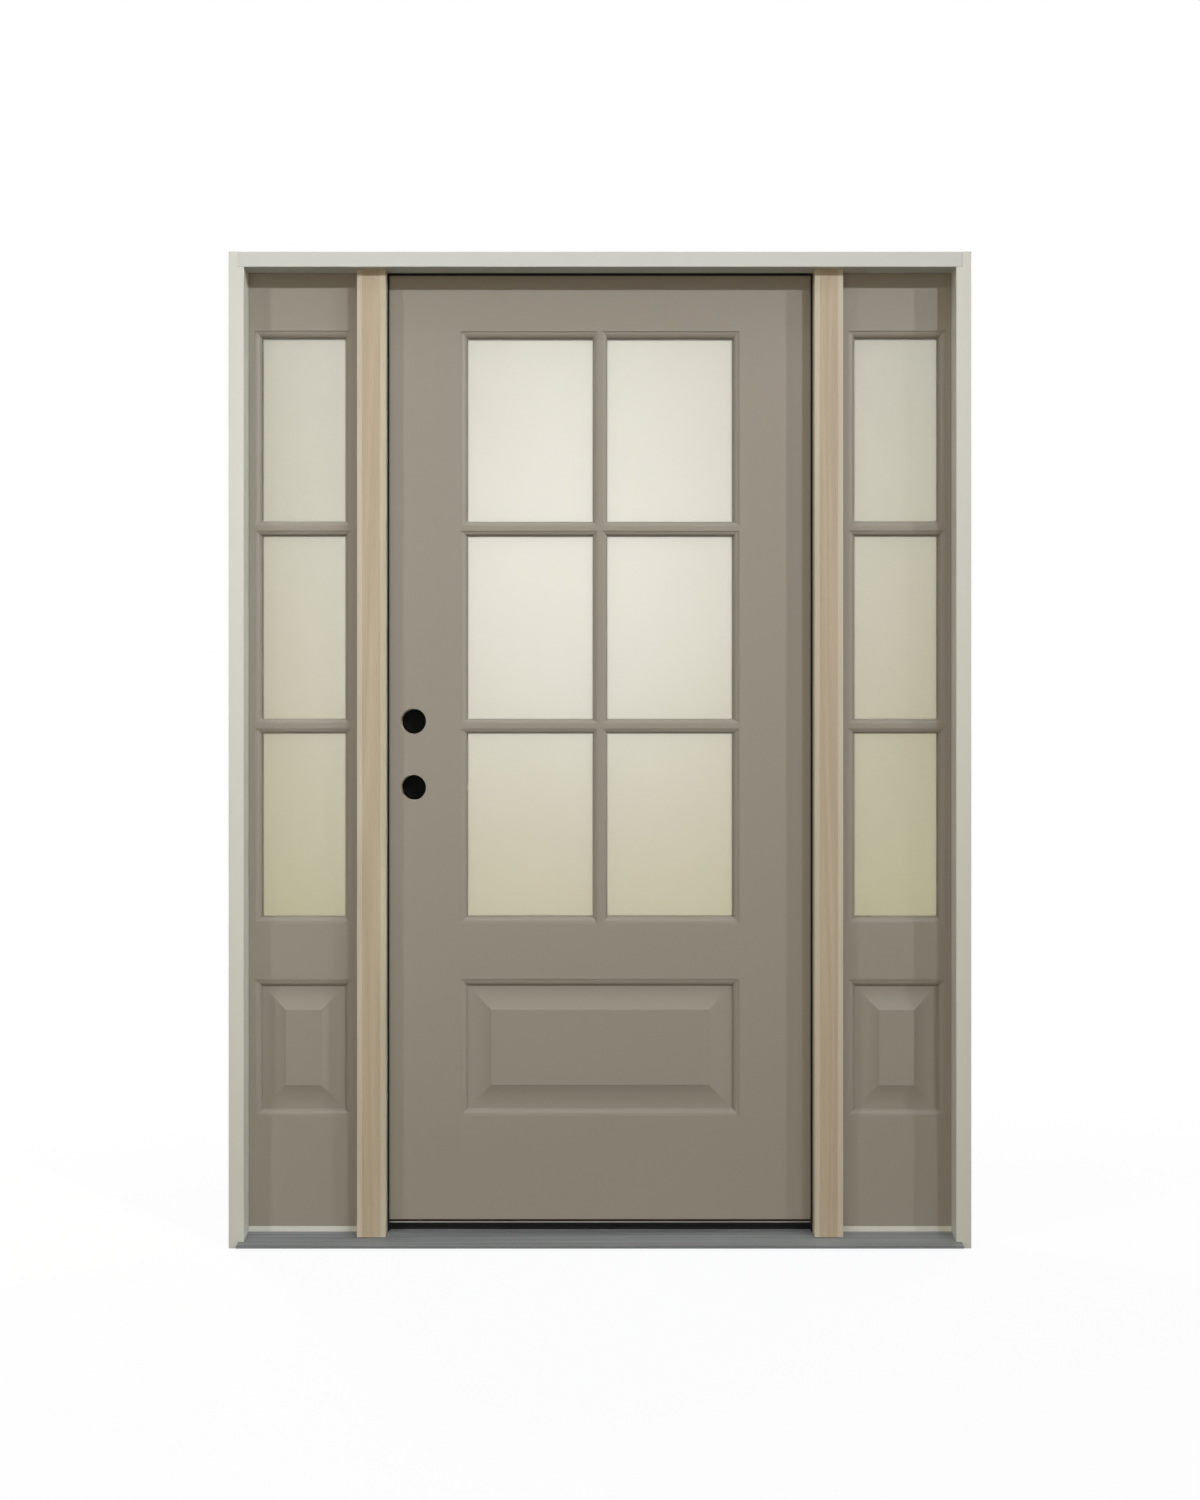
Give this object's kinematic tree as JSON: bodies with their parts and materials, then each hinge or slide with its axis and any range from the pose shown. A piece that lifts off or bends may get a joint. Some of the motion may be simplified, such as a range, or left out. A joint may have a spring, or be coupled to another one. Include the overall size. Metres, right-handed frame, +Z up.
{
  "type": "entry door with sidelights",
  "caption": "Prehung inswing entry door with glazed lites over a raised panel, flanked by matching fixed sidelights in one frame with mullion posts, sloped sill and weatherstrip.",
  "frame": {"origin": "underside of the sill, at the middle of the unit's width and of the jamb's depth", "axes": "+X to the right seen from outside, +Y inwards through the wall, +Z up"},
  "size_m": [1.5428, 0.1573, 2.07],
  "materials": {
    "taupe_paint": "satin taupe paint on wood",
    "frame_primer": "off-white primer on wood",
    "post_wood": "bare light wood",
    "stop_wood": "bare light wood",
    "obscure_glass": "satin obscure glass",
    "black_seal": "matt black",
    "brown_vinyl": "matt dark brown",
    "mill_aluminium": "fine lengthwise ribs",
    "sill_composite": "matt",
    "hinge_steel": "satin"
  },
  "bodies": {
    "frame": {"head_jamb": "frame_primer", "hinge_frame_leaves": "hinge_steel", "hinge_pins": "hinge_steel", "left_base_strip": "frame_primer", "left_jamb": "frame_primer", "left_post": "post_wood", "left_post_stops": "stop_wood", "left_sidelight_bars": "taupe_paint", "left_sidelight_panel": "taupe_paint", "left_sidelight_panes": "obscure_glass", "left_sidelight_rails": "taupe_paint", "left_sidelight_stiles": "taupe_paint", "left_weatherstrip": "black_seal", "right_base_strip": "frame_primer", "right_jamb": "frame_primer", "right_post": "post_wood", "right_post_stops": "stop_wood", "right_sidelight_bars": "taupe_paint", "right_sidelight_panel": "taupe_paint", "right_sidelight_panes": "obscure_glass", "right_sidelight_rails": "taupe_paint", "right_sidelight_stiles": "taupe_paint", "right_weatherstrip": "black_seal", "sill_core": "sill_composite", "sill_deck": "mill_aluminium", "threshold_cap": "mill_aluminium", "threshold_dam": "black_seal", "top_weatherstrip": "black_seal"},
    "door_leaf": {"lock_stile": "taupe_paint", "hinge_stile": "taupe_paint", "top_rail": "taupe_paint", "middle_rail": "taupe_paint", "bottom_rail": "taupe_paint", "upright_bar": "taupe_paint", "cross_bars": "taupe_paint", "door_panes": "obscure_glass", "door_panel": "taupe_paint", "door_sweep": "brown_vinyl", "hinge_door_leaves": "hinge_steel"}
  },
  "joints": [
    {"name": "door_swing", "type": "hinge", "parent": "frame", "child": "door_leaf", "pos_m": [0.4563, 0.06595, 1], "axis": [0, 0, -1], "range_deg": [0, 180]}
  ]
}
